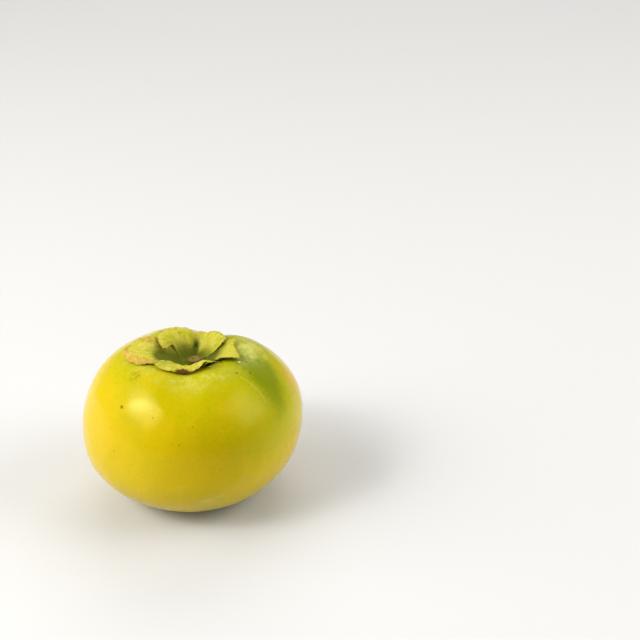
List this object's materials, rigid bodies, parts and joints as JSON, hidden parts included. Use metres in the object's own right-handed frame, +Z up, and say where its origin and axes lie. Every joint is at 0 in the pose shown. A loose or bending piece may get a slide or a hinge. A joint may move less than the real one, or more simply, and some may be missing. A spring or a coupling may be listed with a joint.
{
  "type": "persimmon",
  "caption": "Whole squat persimmon with a dry, lobed, papery calyx in the dish of its top, standing on a small flat spot.",
  "frame": {"origin": "on the surface the fruit stands on, under the middle of the fruit", "axes": "+Z up through the stem end, -Y towards the viewer of the picture, +X to the viewer's right"},
  "size_m": [0.079, 0.079, 0.0591],
  "materials": {
    "skin": "waxy satin",
    "calyx_tissue": "matte",
    "stem_wood": "matte",
    "style_tissue": "matte"
  },
  "bodies": {
    "root": {"fruit": "skin", "calyx": "calyx_tissue", "stem_stub": "stem_wood", "dried_style": "style_tissue"}
  },
  "joints": []
}
